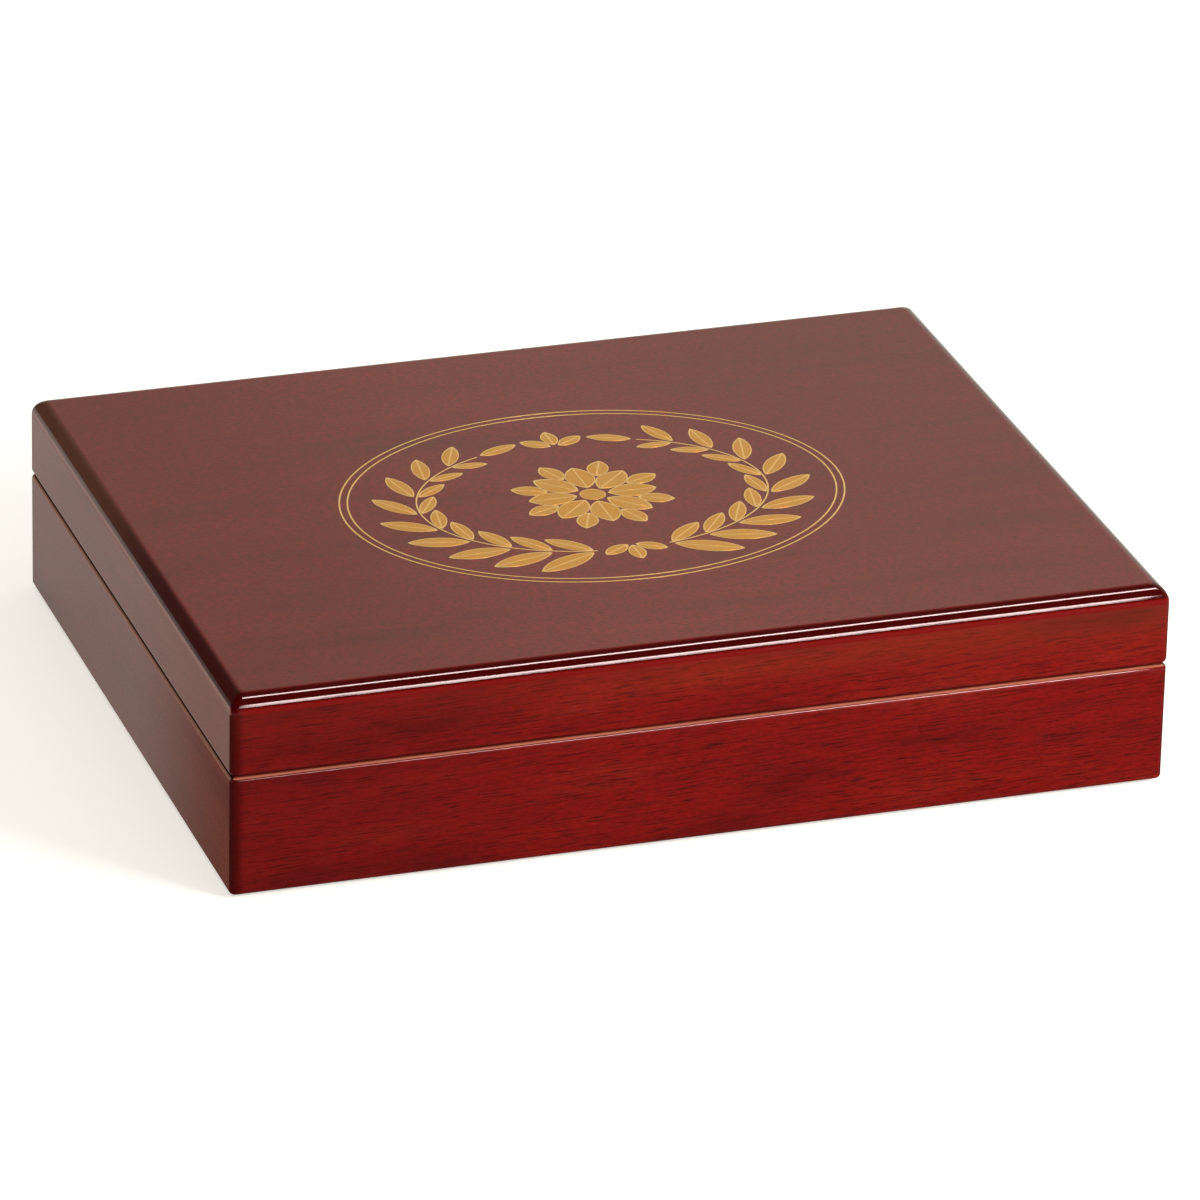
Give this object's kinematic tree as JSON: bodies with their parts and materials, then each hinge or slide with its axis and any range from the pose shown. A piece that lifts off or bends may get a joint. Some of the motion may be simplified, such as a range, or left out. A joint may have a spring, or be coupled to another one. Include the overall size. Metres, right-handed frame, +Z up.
{
  "type": "humidor",
  "caption": "Flat lacquered wooden humidor with a cedar lining, a hinged lid on quadrant hinges, a hygrometer, a humidifier and a sliding divider.",
  "frame": {"origin": "middle of the felt's underside, where the case rests", "axes": "+X to the right along the front, +Y to the back where the hinges are, +Z up"},
  "size_m": [0.26, 0.2054, 0.0577],
  "materials": {
    "rosewood": "red rosewood stain under high-gloss lacquer",
    "cedar": "bare Spanish cedar, planed",
    "brass": "polished",
    "steel": "satin",
    "glass": "clear",
    "dial_card": "matt ivory with printed scale",
    "needle_black": "satin black",
    "black_plastic": "fine moulded texture",
    "foam": "open-cell floral foam",
    "felt": "wool felt"
  },
  "bodies": {
    "base": {"base_front_board": "rosewood", "base_back_board": "rosewood", "base_left_board": "rosewood", "base_right_board": "rosewood", "base_bottom_panel": "rosewood", "felt_base": "felt", "cedar_floor": "cedar", "base_cedar_front": "cedar", "base_cedar_back": "cedar", "base_cedar_left": "cedar", "base_cedar_right": "cedar", "hinge_base_leaf_left": "brass", "hinge_base_leaf_right": "brass", "hinge_pin_left": "steel", "hinge_pin_right": "steel", "hinge_base_screws": "brass"},
    "lid": {"lid_top_panel": "rosewood", "lid_front_rail": "rosewood", "lid_back_rail": "rosewood", "lid_left_rail": "rosewood", "lid_right_rail": "rosewood", "cedar_ceiling": "cedar", "lid_cedar_front": "cedar", "lid_cedar_back": "cedar", "lid_cedar_left": "cedar", "lid_cedar_right": "cedar", "hinge_lid_leaf_left": "brass", "hinge_lid_leaf_right": "brass", "hinge_lid_screws": "brass", "hygrometer_case": "brass", "hygrometer_bezel": "brass", "hygrometer_glass": "glass", "hygrometer_dial": "dial_card", "hygrometer_coil": "steel", "humidifier_strip": "steel"},
    "stay_left": {"hinge_stay_left": "brass"},
    "stay_right": {"hinge_stay_right": "brass"},
    "needle": {"hygrometer_needle": "needle_black"},
    "humidifier": {"humidifier_tray": "black_plastic", "humidifier_cover": "black_plastic", "humidifier_foam": "foam", "humidifier_magnets": "steel"},
    "divider": {"divider": "cedar"}
  },
  "joints": [
    {"name": "lid_hinge", "type": "hinge", "parent": "base", "child": "lid", "pos_m": [0, 0.1015, 0.0351], "axis": [-1, 0, 0], "range_deg": [0, 95]},
    {"name": "stay_left_swing", "type": "hinge", "parent": "base", "child": "stay_left", "pos_m": [0, 0.1015, 0.0351], "axis": [-1, 0, 0], "range_deg": [0, 47.5]},
    {"name": "stay_right_swing", "type": "hinge", "parent": "base", "child": "stay_right", "pos_m": [0, 0.1015, 0.0351], "axis": [-1, 0, 0], "range_deg": [0, 47.5]},
    {"name": "needle_turn", "type": "hinge", "parent": "lid", "child": "needle", "pos_m": [0.068, 0, 0.0482], "axis": [0, 0, 1], "range_deg": [-189, 81]},
    {"name": "humidifier_pull", "type": "slide", "parent": "lid", "child": "humidifier", "axis": [0, 0, -1], "range_m": [0, 0.02]},
    {"name": "divider_slide", "type": "slide", "parent": "base", "child": "divider", "axis": [1, 0, 0], "range_m": [-0.03, 0.072]}
  ],
  "couplings": [
    {"joint": "stay_left_swing", "follows": "lid_hinge", "ratio": 0.5},
    {"joint": "stay_right_swing", "follows": "lid_hinge", "ratio": 0.5}
  ]
}
